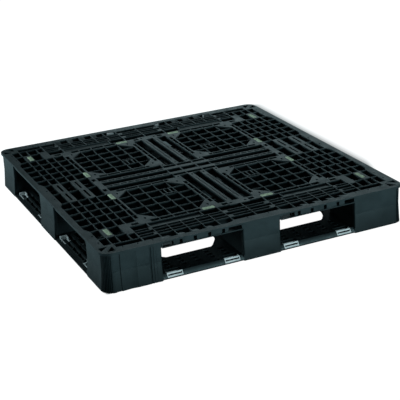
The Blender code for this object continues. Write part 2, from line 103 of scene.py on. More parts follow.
# Columns and the openings between them
COLUMN_X = ((-BODY, -352.0), (-69.0, 69.0), (352.0, BODY))
COLUMN_Y = ((-BODY, -387.0), (-76.0, 76.0), (387.0, BODY))
RIM_RADIUS = 35.0
BODY_RADIUS = RIM_RADIUS - (HALF - BODY)
FOOT_RADIUS = RIM_RADIUS - (HALF - FOOT)
ROUND_CENTRE = HALF - RIM_RADIUS   # centre of every rounded pallet corner, both ways
COLUMN_RADIUS = 5.0
LEAST_RADIUS = 1.5
CORNER_STEPS = 8
SHARP_ANGLE = math.radians(30.0)   # steeper edges are shaded sharp

# Rib centre lines
BAND_X = (356.0, 395.0, 423.5, 461.5, 490.0)
BAND_Y = (93.0, 147.0, 201.0, 255.0, 309.0, 363.0)
GRILLE_RIBS_X = (136.0, 185.0, 235.0, 284.0)
GRILLE_RIBS_Y = (147.0, 201.0, 255.0, 309.0)
GRILLE_X = (86.0, 335.0)
GRILLE_Y = (93.0, 365.0)
END_RIBS_X = (85.0, 136.0, 185.0, 235.0, 284.0, 336.5, 397.0)
END_RIBS_Y = (429.5, 446.5, 469.0, 486.5)
RIM_INNER = 530.0
RIM_INNER_WIDE = 518.0
END_RIM_INNER = 527.0
END_RIM_INNER_WIDE = 514.0

# The central cross of bars
CROSS_RIBS_Y = (56.0, 95.0, 182.0, 273.0)
CROSS_END_Y = 364.0
CROSS_SPANS_X = ((87.5, 134.3), (137.7, 234.0), (237.0, 334.0))
CROSS_ARM_Y = (34.8, 54.0)         # openings beside the middle one, across the bars
CENTRE_X = 29.3                    # half the middle opening
CENTRE_Y = 15.6

SLOPE_END = 524.0                  # where the slopes inside the front and back rims reach the top
SLOPE_DROP = 10.0
TROUGH_START = 391.7

# The lower deck's large openings
HOLE_X = (73.0, 348.0)
HOLE_Y = (80.0, 432.0)


# Outlines, anticlockwise seen from above

def box_outline(x0, x1, y0, y1):
    return [(x0, y0), (x1, y0), (x1, y1), (x0, y1)]


def centred_box(x, y, size_x, size_y):
    return box_outline(x - size_x / 2, x + size_x / 2, y - size_y / 2, y + size_y / 2)


def rounded_outline(x0, x1, y0, y1, radii, steps=CORNER_STEPS):
    corners = ((x0, y0, 1, 1, 180), (x1, y0, -1, 1, 270), (x1, y1, -1, -1, 0), (x0, y1, 1, -1, 90))
    points = []
    for (x, y, sx, sy, start), radius in zip(corners, radii):
        for step in range(steps + 1):
            angle = math.radians(start + 90.0 * step / steps)
            points.append((x + sx * radius + radius * math.cos(angle),
                           y + sy * radius + radius * math.sin(angle)))
    return points


def round_hole(x, y, size_x, size_y):
    radius = min(size_x, size_y) * 0.49
    return rounded_outline(x - size_x / 2, x + size_x / 2, y - size_y / 2, y + size_y / 2,
                           [radius] * 4, steps=3)


def mirrored(outline, flip_x, flip_y):
    points = [(-x if flip_x else x, -y if flip_y else y) for x, y in outline]
    return list(reversed(points)) if flip_x != flip_y else points


def four_ways(outlines):
    return [mirrored(outline, flip_x, flip_y)
            for outline in outlines for flip_x in (False, True) for flip_y in (False, True)]


def two_ways(outlines):
    """Each outline and its copy turned half way round the pallet's middle."""
    return [mirrored(outline, flip, flip) for outline in outlines for flip in (False, True)]


def cells(spans_x, spans_y):
    return [box_outline(x0, x1, y0, y1) for x0, x1 in spans_x for y0, y1 in spans_y]


def spans(ribs, first=None, last=None, rib=RIB):
    """Clear spans between rib centre lines, with plain edges where first or last is given."""
    limits = [(centre - rib / 2, centre + rib / 2) for centre in ribs]
    if first is not None:
        limits.insert(0, (first, first))
    if last is not None:
        limits.append((last, last))
    return [(before[1], after[0]) for before, after in zip(limits, limits[1:])]


def tagged(tag, outlines):
    return [(tag, outline) for outline in outlines]


# A moulding is described by tagged outlines and by a rule that turns the set of tags covering a spot
# into the heights where there is plastic.

def moulding_mesh(shapes, rule, absolute=True):
    """Watertight terraced solid; height functions see |x| and |y| unless absolute is turned off."""
    def height_at(value, point):
        if not callable(value):
            return value
        return value(abs(point.x), abs(point.y)) if absolute else value(point.x, point.y)

    points, polygons = [], []
    for _, outline in shapes:
        polygons.append(list(range(len(points), len(points) + len(outline))))
        points += [Vector(point) for point in outline]
    plan, _, faces, _, _, sources = delaunay_2d_cdt(points, [], polygons, 4, 1e-3)

    solid = []                     # for each plan face, its (bottom, top) intervals
    for covering in sources:
        solid.append(rule({shapes[index][0] for index in covering}))

    levels = [set() for _ in plan]
    neighbours = {}
    for index, face in enumerate(faces):
        for position, start in enumerate(face):
            end = face[(position + 1) % len(face)]
            neighbours[(start, end)] = index
            for interval in solid[index]:
                for value in interval:
                    levels[start].add(round(height_at(value, plan[start]), 3))

    mesh = bmesh.new()
    made = {}

    def vertex(index, height):
        key = (index, round(height, 3))
        if key not in made:
            made[key] = mesh.verts.new((plan[index].x * MM, plan[index].y * MM, key[1] * MM))
        return made[key]

    def add_face(corners):
        ring = []
        for corner in corners:
            if corner not in ring:
                ring.append(corner)
        if len(ring) > 2 and mesh.faces.get(ring) is None:
            mesh.faces.new(ring)

    for index, face in enumerate(faces):
        for bottom, top in solid[index]:
            add_face([vertex(v, height_at(top, plan[v])) for v in face])
            add_face([vertex(v, height_at(bottom, plan[v])) for v in reversed(face)])

    def climb(index, low, high):
        """Corners straight up from low to high, stopping at every level in use at that spot."""
        between = sorted(level for level in levels[index] if low < level < high)
        return [vertex(index, height) for height in [low, *between, high]]

    for (start, end), index in neighbours.items():
        other = solid[neighbours[(end, start)]] if (end, start) in neighbours else []
        for bottom, top in solid[index]:
            floors = [None] + [high for _, high in other]
            ceilings = [low for low, _ in other] + [None]
            for floor, ceiling in zip(floors, ceilings):
                ends = []
                for spot in (start, end):
                    low = round(height_at(bottom, plan[spot]), 3)
                    high = round(height_at(top, plan[spot]), 3)
                    if floor is not None:
                        low = max(low, round(height_at(floor, plan[spot]), 3))
                    if ceiling is not None:
                        high = min(high, round(height_at(ceiling, plan[spot]), 3))
                    ends.append((low, max(low, high)))
                if all(high <= low for low, high in ends):
                    continue
                near = climb(start, *ends[0])
                far = climb(end, *ends[1])
                add_face([near[0], *far, *reversed(near[1:])])
    return mesh


def soften(mesh, width, segments=2, skipped=None):
    """Rounds every convex edge along the top of a rib, plate or rim, but for those at one height."""
    chosen = []
    for edge in mesh.edges:
        if len(edge.link_faces) != 2 or edge.calc_length() < 2.2 * width * MM:
            continue
        if not edge.is_convex:
            continue
        if skipped is not None and abs(edge.verts[0].co.z - skipped * MM) < 0.1 * MM:
            continue
        flat = [face for face in edge.link_faces if face.normal.z > 0.9]
        steep = [face for face in edge.link_faces if abs(face.normal.z) < 0.3]
        if flat and steep:
            chosen.append(edge)
    bmesh.ops.bevel(mesh, geom=chosen, offset=width * MM, offset_type="OFFSET", segments=segments,
                    profile=0.5, affect="EDGES", clamp_overlap=False)


def make_piece(node, mesh, material):
    """The visual piece that stands in for one node of the frame."""
    name = node + "_moulding"
    data = bpy.data.meshes.new(name)
    mesh.to_mesh(data)
    mesh.free()
    data.materials.append(material)
    data.shade_smooth()
    data.set_sharp_from_angle(angle=SHARP_ANGLE)
    piece = bpy.data.objects.new(name, data)
    bpy.context.scene.collection.objects.link(piece)
    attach(piece, "root")
    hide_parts(node)


# Upper deck

def side_band():
    """Grid beside the grilles, out to the left and right rims."""
    rows = spans(BAND_Y)
    windows = cells(spans(BAND_X), rows)
    inner = BAND_X[-1] + RIB / 2
    slant = 25.0
    for index, (y0, y1) in enumerate(rows):
        if index == 0:
            windows.append([(inner, y0), (RIM_INNER_WIDE, y0), (RIM_INNER, y0 + slant),
                            (RIM_INNER, y1), (inner, y1)])
        elif index == len(rows) - 1:
            windows.append([(inner, y0), (RIM_INNER, y0), (RIM_INNER, y1 - slant),
                            (RIM_INNER_WIDE, y1), (inner, y1)])
        else:
            windows.append(box_outline(inner, RIM_INNER, y0, y1))
    rail_rows = spans(BAND_Y[1:5], last=341.0)
    return windows + cells(((340.6, 354.3),), rail_rows)


def side_centre():
    """Openings and slotted plates over the columns halfway along the left and right sides."""
    edges = spans(BAND_X, last=RIM_INNER_WIDE)
    rows = ((RIB / 2, BAND_Y[0] - RIB / 2),)
    windows = cells((edges[0], edges[2], edges[4]), rows)
    for x0, x1 in (edges[1], edges[3]):
        windows.append(centred_box((x0 + x1) / 2, 44.5, 8.0, 67.0))
    windows.append(box_outline(340.0, 354.0, 43.0, 66.0))
    return windows


def corner():
    """Openings over a corner column, and the braced triangles at the pallet's corner."""
    edges = spans(BAND_X, last=RIM_INNER_WIDE)
    near, far = spans((BAND_Y[-1], 431.0, END_RIBS_Y[-1]))
    windows = cells((edges[4],), (near, far))
    windows += cells((edges[3],), (far,))
    windows += cells((edges[2],), (near, far))
    windows.append(box_outline(398.8, edges[1][1], 441.8, far[1]))
    windows.append([(541.0, 495.0), (541.0, 522.0), (511.0, 495.0)])
    windows.append([(499.0, 502.0), (527.0, 534.0), (499.0, 534.0)])
    windows.append(box_outline(358.0, 383.0, 371.0, 385.5))
    return windows


def end_band():
    """Long narrow openings in the front and back bands, and the openings inside the rim."""
    columns = spans(END_RIBS_X, first=RIB / 2)
    rows = spans(END_RIBS_Y)
    windows = cells(columns, (rows[1],))
    plated = [(columns[0][0], 68.0), *columns[1:6], (347.0, columns[6][1])]
    windows += cells(plated, (rows[0], rows[2]))
    trough = (TROUGH_START, END_RIBS_Y[0] - RIB / 2)
    windows.append(box_outline(RIB / 2, 38.0, 397.0, trough[1]))
    windows.append(box_outline(38.0, columns[0][1], *trough))
    windows.append(box_outline(columns[1][0], 148.0, *trough))
    windows.append(box_outline(338.2, 395.3, *trough))
    slot = (END_RIBS_Y[-1] + RIB / 2, END_RIM_INNER_WIDE)
    windows.append(box_outline(*columns[0], *slot))
    windows.append(box_outline(338.2, 395.3, *slot))
    windows.append(box_outline(398.7, 488.0, *slot))
    rim_low = slot[0]
    windows.append([(columns[1][0], rim_low), (columns[1][1], rim_low), (columns[1][1], END_RIM_INNER),
                    (115.0, END_RIM_INNER), (96.0, 521.5), (columns[1][0], 515.5)])
    for rib in GRILLE_RIBS_X:
        windows.append(box_outline(rib + RIB / 2, rib + 27.5, rim_low, END_RIM_INNER))
    return windows


def end_slopes():
    """Sloping floors between those openings: each rises to meet the rim."""
    low = END_RIBS_Y[-1] + RIB / 2
    slopes = []
    for rib, following in zip(GRILLE_RIBS_X, (*GRILLE_RIBS_X[1:], 336.5)):
        slopes.append(box_outline(rib + 27.5, following - RIB / 2, low, SLOPE_END))
    return slopes


def slope_height(_, y):
    return DECK_TOP - SLOPE_DROP * max(0.0, SLOPE_END - y) / (SLOPE_END - END_RIBS_Y[-1])


def trough_height(_, y):
    return DECK_TOP - 7.0 + 4.0 * (y - TROUGH_START) / (END_RIBS_Y[0] - TROUGH_START)


def grille():
    """Five by five cells with gusset plates across the four corners, and a small marked cell."""
    columns = spans(GRILLE_RIBS_X, first=GRILLE_X[0], last=GRILLE_X[1], rib=GRILLE_RIB)
    rows = spans(GRILLE_RIBS_Y, first=GRILLE_Y[0], last=GRILLE_Y[1], rib=GRILLE_RIB)
    windows = []
    lean = 3.2
    last_x, last_y = len(columns) - 1, len(rows) - 1
    for ix, (x0, x1) in enumerate(columns):
        for iy, (y0, y1) in enumerate(rows):
            if ix in (0, last_x) and iy in (0, last_y):
                corner_x, far_x = (x0, x1) if ix == 0 else (x1, x0)
                corner_y, far_y = (y0, y1) if iy == 0 else (y1, y0)
                step_x = math.copysign(lean, far_x - corner_x)
                step_y = math.copysign(lean, far_y - corner_y)
                triangle = [(far_x, corner_y + step_y), (far_x, far_y), (corner_x + step_x, far_y)]
                windows.append(triangle if (ix == 0) == (iy == 0) else list(reversed(triangle)))
            elif (ix, iy) == (1, 1):
                windows += cells(((x0, x0 + 13.0), (x0 + 15.5, x1 - 15.5), (x1 - 13.0, x1)),
                                 ((y0, y1 - 13.0),))
                windows.append(box_outline(x0, x1, y1 - 10.5, y1))
            else:
                windows.append(box_outline(x0, x1, y0, y1))
    for x in (97.5, 323.5):
        for y in (107.0, 351.0):
            windows.append(round_hole(x, y, 7.0, 13.0))
    return windows


def grille_recess():
    x0, x1 = GRILLE_X
    y0, y1 = GRILLE_Y
    leg_x = GRILLE_RIBS_X[0] - x0
    leg_y = GRILLE_RIBS_Y[0] - y0
    return [(x0 + leg_x, y0), (x1 - leg_x, y0), (x1, y0 + leg_y), (x1, y1 - leg_y),
            (x1 - leg_x, y1), (x0 + leg_x, y1), (x0, y1 - leg_y), (x0, y0 + leg_y)]


def rails():
    """Slots between the double rails that frame each grille."""
    windows = cells(((69.4, 81.6),), spans(GRILLE_RIBS_Y, first=120.0, last=337.0))
    along = spans(GRILLE_RIBS_X, first=121.0, last=316.0)
    windows += cells(along, ((75.0, 89.2),))
    windows += cells(along[1:], ((369.2, 388.3),))
    windows.append(round_hole(75.0, 68.0, 6.0, 9.0))
    return windows


def cross():
    """Openings between the bars of the central cross."""
    windows = cells(((32.3, 66.0),), spans(CROSS_RIBS_Y, last=CROSS_END_Y))
    windows += cells(CROSS_SPANS_X, ((CROSS_ARM_Y[0], 71.2),))
    windows.append(box_outline(33.0, 82.3, *CROSS_ARM_Y))
    windows.append(box_outline(38.5, 60.0, 371.0, 387.5))
    windows.append(centred_box(26.5, 381.0, 8.0, 8.0))
    windows.append(round_hole(22.6, 72.0, 8.0, 8.0))
    rung_pitch, rung_gap = 9.3, 5.6
    for number in range(26):
        start = 104.0 + number * rung_pitch
        windows.append(box_outline(20.4, 25.6, start, start + rung_gap))
    slot_pitch, slot_length = 27.0, 23.0
    for number in range(9):
        start = 91.0 + number * slot_pitch
        windows.append(box_outline(start, start + slot_length, 21.4, 29.0))
    return windows


def cross_over_front():
    """Openings of the cross that straddle the middle plane from front to back."""
    windows = cells(((-13.6, 13.6),), spans(CROSS_RIBS_Y, last=CROSS_END_Y))
    windows.append(box_outline(-CENTRE_X, CENTRE_X, *CROSS_ARM_Y))
    return windows


def cross_over_side():
    """Openings of the cross that straddle the middle plane from left to right."""
    return cells(((32.7, 82.3), (85.7, 134.3), *CROSS_SPANS_X[1:]), ((-CENTRE_Y, CENTRE_Y),))


def low_ribs():
    """Where the ribs between the bars of the cross lie well below the deck's surface."""
    quadrant = [box_outline(32.0, 66.3, 58.0, 364.0), box_outline(84.0, 334.0, 34.5, 71.5)]
    over_front = [box_outline(-13.8, 13.8, 58.0, 364.0)]
    over_side = [box_outline(84.0, 334.0, -15.8, 15.8)]
    return four_ways(quadrant) + two_ways(over_front) + two_ways(over_side)


def plate_hollows():
    """Where the deck is only a plate, seen from below."""
    quadrant = [
        box_outline(359.0, 488.0, 518.0, BODY - WALL),
        box_outline(522.0, BODY - WALL, 394.0, 484.0),
        box_outline(463.3, 488.2, 366.0, 429.0),
        box_outline(398.8, 421.7, 366.0, 438.0),
        box_outline(115.0, 309.0, 530.0, BODY - SKIRT),
        box_outline(74.0, 114.0, 517.0, BODY - SKIRT),
        box_outline(310.0, 348.0, 517.0, BODY - SKIRT),
        box_outline(341.0, 353.0, 350.0, 361.0),
        box_outline(532.5, BODY - SKIRT, 122.0, 333.0),
    ]
    edges = spans(BAND_X)
    quadrant += cells((edges[1], edges[3]), ((RIB / 2, BAND_Y[0] - RIB / 2),))
    over_front = [box_outline(-64.0, 64.0, 518.0, BODY - WALL)]
    over_side = [box_outline(522.0, BODY - WALL, -70.0, 70.0)]
    return four_ways(quadrant) + two_ways(over_front) + two_ways(over_side)


def rim_holes():
    quadrant = [centred_box(x, 521.0, 3.6, 9.0) for x in (38.0, 371.0, 421.0, 470.0)]
    quadrant += [centred_box(525.0, y, 5.0, 7.0) for y in (42.0, 401.0, 457.0)]
    return quadrant


def skirt_cuts():
    """The skirt over the front and back openings, its notches and recesses, and its outer face."""
    between_columns = (COLUMN_X[1][1], COLUMN_X[2][0])
    notch_width = 11.0
    face_depth = 4.0
    middles = [rib + RIB for rib in GRILLE_RIBS_X]
    narrow = [(middle - notch_width / 2, middle + notch_width / 2) for middle in middles]
    wide = [(72.0, 121.0), (312.0, 349.0)]
    skirt = [box_outline(*between_columns, BODY - SKIRT, HALF)]
    notches = cells(narrow + wide, ((BODY - SKIRT, HALF),))
    face = [box_outline(*between_columns, HALF - face_depth, HALF)]
    return skirt, notches, face


def column_outlines(outer, inset=0.0):
    """Footprints of the nine columns, whose outer faces lie at a given distance from the middle."""
    reach = {BODY: outer, -BODY: -outer}
    outlines = []
    for ix, column_x in enumerate(COLUMN_X):
        for iy, column_y in enumerate(COLUMN_Y):
            x0, x1 = (reach.get(limit, limit) for limit in column_x)
            y0, y1 = (reach.get(limit, limit) for limit in column_y)
            radii = []
            for corner_x, corner_y in ((0, 0), (2, 0), (2, 2), (0, 2)):
                at_pallet_corner = ix == corner_x and iy == corner_y
                radius = RIM_RADIUS - (HALF - outer) if at_pallet_corner else COLUMN_RADIUS
                radii.append(max(LEAST_RADIUS, radius - inset))
            outlines.append(rounded_outline(x0 + inset, x1 - inset, y0 + inset, y1 - inset, radii))
    return outlines


def column_webs():
    """Cross-shaped stiffeners inside the columns, which end in the middle of the walls."""
    webs = []
    for x0, x1 in COLUMN_X:
        for y0, y1 in COLUMN_Y:
            webs.append(centred_box((x0 + x1) / 2, (y0 + y1) / 2, RIB, y1 - y0 - WALL))
            webs.append(centred_box((x0 + x1) / 2, (y0 + y1) / 2, x1 - x0 - WALL, RIB))
    return webs


def panels(outer):
    """Shallow leaning steps and flutes in the long face of two diagonally opposite corner columns."""
    # Start and end along the face, and the depth at each
    steps = [(-509.0, -491.0, 2.8, 3.0), (-491.0, -457.0, 0.2, 2.8), (-457.0, -437.0, 2.8, 0.3)]
    flute_width = 6.0
    for x, depth in ((-394.0, 2.4), (-385.5, 1.3), (-377.0, 0.7)):
        steps.append((x, x + flute_width, 0.2, depth))
    outlines = []
    for x0, x1, depth0, depth1 in steps:
        outlines.append([(x0, -outer - 1.0), (x1, -outer - 1.0), (x1, -outer + depth1),
                         (x0, -outer + depth0)])
    return two_ways(outlines)


def corner_flutes(outer):
    """Fine upright grooves round the pallet's rounded corners."""
    radius = outer - ROUND_CENTRE
    mouth = math.radians(3.4)      # half of a groove's angle at the surface
    root = mouth * 0.8             # and at its bottom
    proud, depth = 1.0, 3.0
    grooves = []
    for degrees in range(5, 80, 10):
        angle = math.radians(degrees)
        ring = []
        for turn, reach in ((-mouth, proud), (mouth, proud), (root, -depth), (-root, -depth)):
            ring.append((ROUND_CENTRE + (radius + reach) * math.cos(angle + turn),
                         ROUND_CENTRE + (radius + reach) * math.sin(angle + turn)))
        grooves.append(ring)
    return four_ways(grooves)


def draft(mesh):
    """Leans the lower half's outer faces in, from the floor to where the halves are welded."""
    threshold = BODY + 0.5         # only what stands further out than this moves
    for vert in mesh.verts:
        lean = (FOOT - BODY) * MM * vert.co.z / (WELD_LOW * MM)
        at_corner = min(abs(vert.co.x), abs(vert.co.y)) > ROUND_CENTRE * MM
        if at_corner:
            centre = Vector((math.copysign(ROUND_CENTRE, vert.co.x) * MM,
                             math.copysign(ROUND_CENTRE, vert.co.y) * MM, vert.co.z))
            out = vert.co - centre
            if out.length > (threshold - ROUND_CENTRE) * MM:
                vert.co -= out.normalized() * lean
            continue
        for axis in (0, 1):
            if abs(vert.co[axis]) > threshold * MM:
                vert.co[axis] -= math.copysign(lean, vert.co[axis])


def upper_rule(tags):
    if "rim" not in tags:
        return []
    if "skirt" in tags:
        if "notch" in tags:
            return [(DECK_UNDERSIDE, DECK_UNDERSIDE + LIP), (NOTCH_TOP, DECK_TOP)]
        if "skirt_face" in tags:
            return [(DECK_UNDERSIDE, DECK_UNDERSIDE + LIP), (SKIRT_FACE_TOP, DECK_TOP)]
        return [(DECK_UNDERSIDE, DECK_TOP)]
    if "body" not in tags or "panel" in tags:
        return [(DECK_TOP - SIDE_RIM if "side_opening" in tags else RIM_BOTTOM, DECK_TOP)]
    if "side_lip" in tags:
        return [SIDE_LIP, (DECK_TOP - SIDE_RIM, DECK_TOP)]
    in_wall = ("column" in tags and "inside" not in tags) or ("web" in tags and "inside" in tags)
    if "window" in tags:
        return [(WELD_TOP, DECK_UNDERSIDE + WALL_STUB)] if in_wall else []
    bottom = DECK_TOP - PLATE if "hollow" in tags else DECK_UNDERSIDE
    top = DECK_TOP
    if "recess" in tags:
        top = DECK_TOP - GRILLE_DROP
    if "low" in tags:
        top = DECK_TOP - LOW_RIB_DROP
    if "slope" in tags:
        top = slope_height
    if "trough" in tags:
        top = trough_height
        bottom = DECK_UNDERSIDE
    if "seat" in tags:
        top = DECK_TOP - SEAT_DROP
        bottom = DECK_UNDERSIDE
    return [(WELD_TOP if in_wall else bottom, top)]


def build_upper_deck(material):
    skirt, notches, skirt_face = skirt_cuts()
    side_y = (COLUMN_Y[1][1], COLUMN_Y[2][0])
    windows = side_band() + side_centre() + corner() + end_band() + grille() + rails() + cross()
    seats = []
    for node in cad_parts:
        if node.startswith("grip_pad"):
            low, high = node_box(node)
            seats.append(box_outline(low.x - SEAT_GAP, high.x + SEAT_GAP,
                                     low.y - SEAT_GAP, high.y + SEAT_GAP))
    shapes = tagged("rim", [rounded_outline(-HALF, HALF, -HALF, HALF, [RIM_RADIUS] * 4)])
    shapes += tagged("body", [rounded_outline(-BODY, BODY, -BODY, BODY, [BODY_RADIUS] * 4)])
    shapes += tagged("column", column_outlines(BODY))
    shapes += tagged("inside", column_outlines(BODY, WALL))
    shapes += tagged("web", column_webs())
    shapes += tagged("panel", panels(BODY) + corner_flutes(BODY))
    shapes += tagged("window", four_ways(windows + rim_holes()))
    shapes += tagged("window", two_ways(cross_over_front()) + two_ways(cross_over_side()))
    shapes += tagged("window", [box_outline(-CENTRE_X, CENTRE_X, -CENTRE_Y, CENTRE_Y)])
    shapes += tagged("low", low_ribs())
    shapes += tagged("recess", four_ways([grille_recess()]))
    shapes += tagged("hollow", plate_hollows())
    shapes += tagged("slope", four_ways(end_slopes()))
    trough = box_outline(150.0, 334.7, TROUGH_START, END_RIBS_Y[0] - RIB / 2)
    shapes += tagged("trough", four_ways([trough]))
    shapes += tagged("seat", seats)
    shapes += tagged("skirt", four_ways(skirt))
    shapes += tagged("notch", four_ways(notches))
    shapes += tagged("skirt_face", four_ways(skirt_face))
    shapes += tagged("side_opening", four_ways([box_outline(BODY, HALF + 1.0, *side_y)]))
    shapes += tagged("side_lip", four_ways([box_outline(BODY - 5.0, BODY, *side_y)]))
    mesh = moulding_mesh(shapes, upper_rule)
    soften(mesh, 0.5)
    make_piece("upper_deck", mesh, material)


# Lower deck

def large_opening():
    """Opening with long bevelled corners, each bevel made of two straights."""
    x0, x1 = HOLE_X
    y0, y1 = HOLE_Y
    mid_x = (x0 + x1) / 2
    mid_y = (y0 + y1) / 2
    quarter = [(x1, y1 - 94.0), (x1 - 6.0, y1 - 76.0), (x1 - 17.0, y1 - 52.0), (x1 - 36.0, y1 - 24.0),
               (x1 - 48.0, y1 - 8.0), (x1 - 57.0, y1)]
    upper_left = [(2 * mid_x - x, y) for x, y in reversed(quarter)]
    lower_left = [(2 * mid_x - x, 2 * mid_y - y) for x, y in quarter]
    lower_right = [(x, 2 * mid_y - y) for x, y in reversed(quarter)]
    return quarter + upper_left + lower_left + lower_right


def runner_windows():
    windows = []
    middles = (109.0, 160.0, 211.0, 261.0, 311.0)
    for centre_y, height in ((503.0, 12.0), (480.0, 12.0), (458.0, 13.0)):
        windows += [centred_box(x, centre_y, 19.0, height) for x in middles]
    windows += [centred_box(x, 533.0, 19.0, 7.0) for x in middles[1:4]]
    windows += [centred_box(x, 439.0, 30.0, 5.0) for x in middles[1:4]]
    rows = spans(BAND_Y)
    windows += cells(((500.0, 514.0), (428.0, 444.0), (449.0, 464.0), (404.0, 420.0), (381.0, 397.0),
                      (359.0, 375.0)), rows)
    windows += cells(((472.0, 488.0),), (rows[0], *rows[2:]))
    windows += cells(((470.0, 492.0),), (rows[1],))
    windows += cells(((520.5, 530.5),), rows)
    middle_rows = spans((78.0, *GRILLE_RIBS_Y, 385.0))
    windows += cells(((6.0, 22.0), (27.0, 42.0), (47.0, 62.0)), middle_rows)
    windows += cells(spans((HOLE_X[0], *GRILLE_RIBS_X, 350.0)), ((6.0, 34.0), (40.0, 72.0)))
    return windows


def ramp_height_end(_, y):
    return LOWER_TOP - (LOWER_TOP - RAMP_FOOT) * max(0.0, y - FOOT + RAMP_DEPTH) / RAMP_DEPTH


def side_height(x, _):
    """Height across the left and right edges: a short steep slope, then a long gentle one."""
    height = LOWER_TOP
    for (x0, height0), (x1, height1) in zip(SIDE_PROFILE, SIDE_PROFILE[1:]):
        if x > x0:
            height = height0 + (height1 - height0) * min(1.0, (x - x0) / (x1 - x0))
    return height


def side_groove_height(x, y):
    groove_depth = 0.9
    return side_height(x, y) - groove_depth


def end_ramps():
    return four_ways([box_outline(COLUMN_X[1][1], COLUMN_X[2][0], FOOT - RAMP_DEPTH, FOOT)])


def side_ramps():
    limits = [x for x, _ in SIDE_PROFILE]
    return four_ways(cells(zip(limits, limits[1:]), ((COLUMN_Y[1][1], COLUMN_Y[2][0]),)))


def tread_grooves():
    """Fine grooves across the long slope of the left and right edges."""
    grooves = []
    pitch = 5.4
    width = 2.0
    overshoot = 0.02               # keeps the grooves' ends off the lines of the edge itself
    count = int((COLUMN_Y[2][0] - COLUMN_Y[1][1]) / pitch)
    for number in range(1, count):
        y = COLUMN_Y[1][1] + number * pitch
        grooves.append(centred_box((TREAD_START + FOOT) / 2, y, FOOT - TREAD_START + overshoot, width))
    return grooves


def lower_rule(tags):
    if "body" not in tags or "panel" in tags:
        return []
    if "column" in tags:
        hollow = "inside" in tags and "web" not in tags
        return [(0.0, COLUMN_FLOOR if hollow else WELD_LOW)]
    if "pocket" in tags:
        return [(LOWER_UNDERSIDE, RAMP_FOOT - POCKET_GAP)]
    if "opening" in tags or "window" in tags:
        return []
    if "groove" in tags:
        return [(LOWER_UNDERSIDE, side_groove_height)]
    if "end_ramp" in tags:
        return [(LOWER_UNDERSIDE, ramp_height_end)]
    if "side_ramp" in tags:
        return [(LOWER_UNDERSIDE, side_height)]
    return [(LOWER_UNDERSIDE, LOWER_TOP)]


def insert_pockets():
    """Pockets for the edge inserts; the front and back ones run out through the deck's outer face."""
    pockets = []
    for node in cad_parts:
        if node.startswith("edge_insert"):
            low, high = node_box(node)
            at_end = max(-low.y, high.y) > FOOT - 1.0
            front = -FOOT if at_end and low.y < 0 else low.y - POCKET_GAP
            back = FOOT if at_end and low.y > 0 else high.y + POCKET_GAP
            pockets.append(box_outline(low.x - POCKET_GAP, high.x + POCKET_GAP, front, back))
    return pockets


def build_lower_deck(material):
    shapes = tagged("body", [rounded_outline(-FOOT, FOOT, -FOOT, FOOT, [FOOT_RADIUS] * 4)])
    shapes += tagged("column", column_outlines(FOOT))
    shapes += tagged("inside", column_outlines(BODY, WALL))
    shapes += tagged("web", column_webs())
    shapes += tagged("panel", panels(FOOT) + corner_flutes(FOOT))
    shapes += tagged("opening", four_ways([large_opening()]))
    shapes += tagged("window", four_ways(runner_windows()))
    shapes += tagged("end_ramp", end_ramps())
    shapes += tagged("side_ramp", side_ramps())
    shapes += tagged("groove", four_ways(tread_grooves()))
    shapes += tagged("pocket", insert_pockets())
    mesh = moulding_mesh(shapes, lower_rule)
    draft(mesh)
    soften(mesh, 0.6, skipped=WELD_LOW)
    make_piece("lower_deck", mesh, material)


# Pads and inserts

def build_pad(node, material):
    """Flat pad with rounded corners and rows of low studs on its upper face."""
    margin = Vector((PAD_MARGIN, PAD_MARGIN, 0.0))
    low, high = node_box(node)
    low, high = low + margin, high - margin
    stud_height, stud_width, stud_pitch = 0.5, 2.8, 4.4
    edge = 1.6
    outline = rounded_outline(low.x, high.x, low.y, high.y, [LEAST_RADIUS] * 4, steps=3)
    shapes = [("pad", outline)]
    size_x, size_y = high.x - low.x - 2 * edge, high.y - low.y - 2 * edge
    count_x, count_y = max(2, round(size_x / stud_pitch)), max(2, round(size_y / stud_pitch))
    for ix in range(count_x):
        for iy in range(count_y):
            x = low.x + edge + size_x * (ix + 0.5) / count_x
            y = low.y + edge + size_y * (iy + 0.5) / count_y
            shapes.append(("stud", round_hole(x, y, stud_width, stud_width)))

    def rule(tags):
        if "pad" not in tags:
            return []
        return [(low.z, high.z if "stud" in tags else high.z - stud_height)]

    mesh = moulding_mesh(shapes, rule)
    soften(mesh, 0.2, segments=1)
    make_piece(node, mesh, material)


